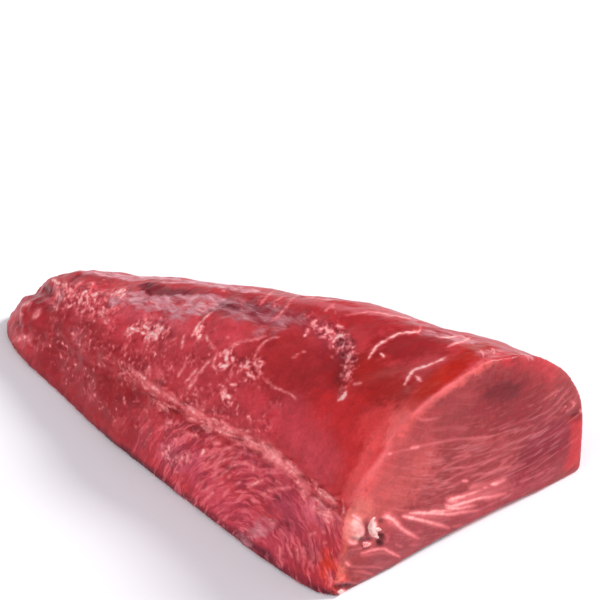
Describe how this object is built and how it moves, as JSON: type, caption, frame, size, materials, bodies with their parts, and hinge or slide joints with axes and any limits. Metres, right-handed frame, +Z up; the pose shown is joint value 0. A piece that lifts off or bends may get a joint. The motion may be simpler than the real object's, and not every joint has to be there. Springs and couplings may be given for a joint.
{
  "type": "raw tuna loin",
  "caption": "Boneless, skinless raw tuna loin with a square cut face at its thick end and a blunt tapered tail end, lying on its flat side.",
  "frame": {"origin": "on the surface the loin lies on, under the middle of its bounding box", "axes": "+X along the loin from the tapered tail end to the square cut face, +Y across it, +Z up"},
  "size_m": [0.3042, 0.1676, 0.0892],
  "materials": {
    "flesh": "wet, deep red raw fish flesh with pale sinew, and a duller pink on the cut"
  },
  "bodies": {
    "root": {"loin": "flesh"}
  },
  "joints": []
}
